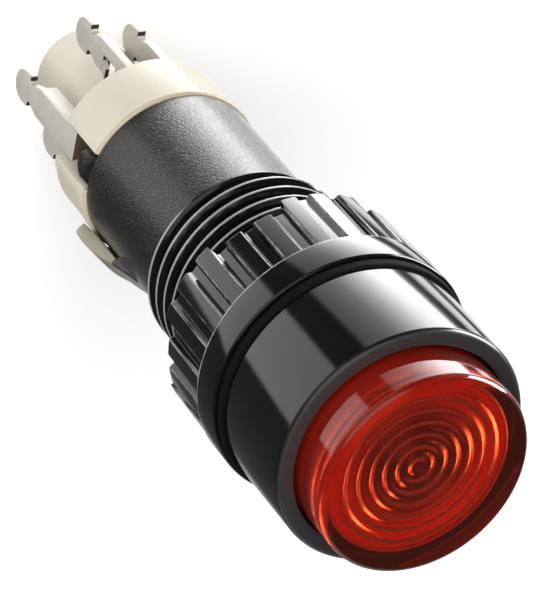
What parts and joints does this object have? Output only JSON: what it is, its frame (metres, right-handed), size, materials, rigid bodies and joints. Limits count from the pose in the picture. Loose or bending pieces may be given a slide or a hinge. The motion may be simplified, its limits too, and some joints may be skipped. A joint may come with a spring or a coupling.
{
  "type": "illuminated push button",
  "caption": "Panel-mounted illuminated push button with a red ringed lens, black collar, ribbed ring nut, threaded neck and cream terminal base.",
  "frame": {"origin": "on the button's axis, at the rear face of the collar where it meets the panel", "axes": "+Z along the button's axis out of the panel, +X across the thickness of the terminal strips, +Y across their width"},
  "size_m": [0.0236, 0.0236, 0.0662],
  "materials": {
    "black_moulding": "glossy black moulded plastic, finely textured on the barrel",
    "gasket_rubber": "matte black rubber",
    "red_lens": "clear red plastic, polished",
    "white_moulding": "satin white plastic",
    "cream_moulding": "satin cream plastic",
    "tinned_strip": "dull tinned brass strip",
    "spring_bronze": "dull plated spring bronze",
    "spring_steel": "bright spring wire",
    "contact_silver": "silver contact rivet",
    "lamp_glass": "clear glass"
  },
  "bodies": {
    "housing": {"housing": "black_moulding", "panel_gasket": "gasket_rubber", "terminal_base": "cream_moulding", "make_terminal_1": "tinned_strip", "make_terminal_2": "tinned_strip", "break_terminal_1": "tinned_strip", "break_terminal_2": "tinned_strip", "make_fixed_contacts": "contact_silver", "break_fixed_contacts": "contact_silver", "lamp_terminal_1": "tinned_strip", "lamp_terminal_2": "tinned_strip", "lamp_bulb": "lamp_glass", "lamp_base": "black_moulding", "lamp_contact_plates": "tinned_strip", "locking_clip": "spring_bronze", "return_spring": "spring_steel"},
    "button": {"lens_cap": "red_lens", "reflector": "white_moulding", "plunger": "black_moulding", "contact_carrier": "black_moulding", "make_bridge": "spring_bronze", "make_bridge_contacts": "contact_silver", "break_bridge": "spring_bronze", "break_bridge_contacts": "contact_silver"},
    "nut": {"ring_nut": "black_moulding"}
  },
  "joints": [
    {"name": "button_press", "type": "slide", "parent": "housing", "child": "button", "axis": [0, 0, -1], "range_m": [0, 0.003], "stiffness_N_per_m": 600, "springref_m": -0.004, "deforming": ["return_spring"]},
    {"name": "nut_turn", "type": "hinge", "parent": "housing", "child": "nut", "pos_m": [0, 0, -0.006], "axis": [0, 0, 1], "continuous": true}
  ]
}
